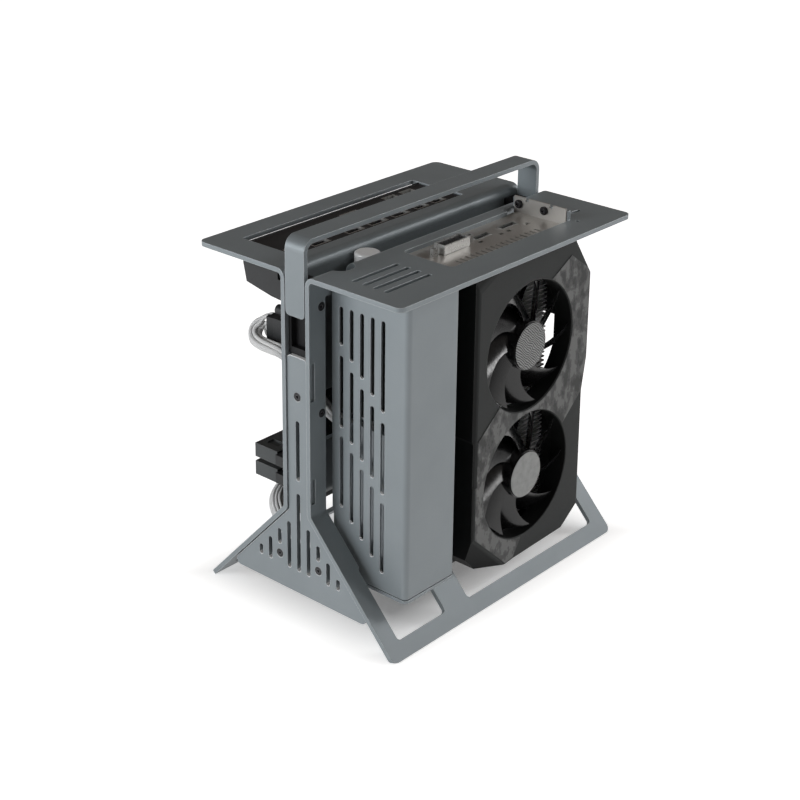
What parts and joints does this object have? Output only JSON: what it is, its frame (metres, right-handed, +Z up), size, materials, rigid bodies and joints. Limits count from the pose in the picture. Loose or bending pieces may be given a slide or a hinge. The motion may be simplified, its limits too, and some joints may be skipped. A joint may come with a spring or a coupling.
{
  "type": "open-frame mini-itx computer case",
  "caption": "Open-frame desktop computer: two folded sheets with a retractable carry handle hold a board and a power supply, with a graphics card hung beside them.",
  "frame": {"origin": "on the floor, centred in width and length under the case", "axes": "+X towards the graphics card's side, +Y from front to back along the handle, +Z up"},
  "size_m": [0.165, 0.224, 0.252],
  "materials": {
    "frame_sheet": "satin bluish-grey anodised",
    "black_nylon": "machined nylon",
    "black_steel": "black oxide",
    "bright_metal": "bright satin",
    "bright_steel": "plated",
    "brass_posts": "turned",
    "black_plastic": "moulded, matt",
    "fan_plastic": "moulded, slightly satin",
    "shroud_plastic": "moulded with mottled grey bands",
    "black_sheet": "powder coat",
    "circuit_board": "solder mask",
    "dark_heatsink": "black anodised",
    "bare_fins": "bare sheet",
    "white_sleeving": "braided sleeving",
    "ribbon": "matt",
    "satin_nickel": "satin nickel"
  },
  "bodies": {
    "case": {"left_frame": "frame_sheet", "right_frame": "frame_sheet", "front_end_plate": "frame_sheet", "rear_end_plate": "frame_sheet", "front_guide_block": "black_nylon", "rear_guide_block": "black_nylon", "front_cross_bar": "black_nylon", "rear_cross_bar": "black_nylon", "end_plate_screws": "black_steel", "wall_screws": "black_steel", "button_bracket": "black_steel", "button_switch": "black_plastic", "psu_cover": "frame_sheet", "psu_cover_base": "frame_sheet", "power_supply": "black_sheet", "psu_core": "black_plastic", "psu_inlet": "black_plastic", "psu_plugs": "black_plastic", "motherboard": "circuit_board", "board_standoffs": "brass_posts", "board_screws": "bright_steel", "board_components": "black_plastic", "chipset_heatsink": "dark_heatsink", "io_shield": "black_sheet", "io_connectors": "bright_steel", "port_inserts": "black_plastic", "io_cover": "black_plastic", "eps_plug": "black_plastic", "atx_plug": "black_plastic", "eps_cable": "white_sleeving", "atx_cable": "white_sleeving", "cooler_heatsink": "bare_fins", "cooler_fan_frame": "fan_plastic", "memory_slots": "black_plastic", "memory_modules": "dark_heatsink", "pcie_slot": "black_plastic", "riser_plug": "black_plastic", "riser_ribbon": "ribbon", "riser_socket": "black_plastic", "riser_bracket": "black_steel", "gpu_bracket": "satin_nickel", "gpu_bracket_screws": "black_steel", "display_connectors": "bright_steel", "gpu_board": "circuit_board", "gpu_backplate": "black_sheet", "gpu_heatsink": "bare_fins", "gpu_shroud": "shroud_plastic", "gpu_fan_mounts": "fan_plastic"},
    "handle": {"handle": "frame_sheet", "handle_slides": "black_nylon"},
    "button": {"power_button": "bright_metal"},
    "cooler_rotor": {"cooler_fan_rotor": "fan_plastic"},
    "psu_rotor": {"psu_fan": "fan_plastic"},
    "upper_rotor": {"gpu_fan_upper": "fan_plastic"},
    "lower_rotor": {"gpu_fan_lower": "fan_plastic"}
  },
  "joints": [
    {"name": "handle_slide", "type": "slide", "parent": "case", "child": "handle", "axis": [0, 0, -1], "range_m": [0, 0.0214]},
    {"name": "power_button_press", "type": "slide", "parent": "case", "child": "button", "axis": [0, 0, -1], "range_m": [0, 0.002], "stiffness_N_per_m": 400, "springref_m": -0.002},
    {"name": "cooler_fan_spin", "type": "hinge", "parent": "case", "child": "cooler_rotor", "pos_m": [-0.06, -0.0085, 0.148], "axis": [-1, 0, 0], "continuous": true},
    {"name": "psu_fan_spin", "type": "hinge", "parent": "case", "child": "psu_rotor", "pos_m": [0.04165, -0.07105, 0.22], "axis": [0, 0, 1], "continuous": true},
    {"name": "gpu_fan_upper_spin", "type": "hinge", "parent": "case", "child": "upper_rotor", "pos_m": [0.06, 0.024, 0.1626], "axis": [1, 0, 0], "continuous": true},
    {"name": "gpu_fan_lower_spin", "type": "hinge", "parent": "case", "child": "lower_rotor", "pos_m": [0.06, 0.024, 0.0732], "axis": [1, 0, 0], "continuous": true}
  ]
}
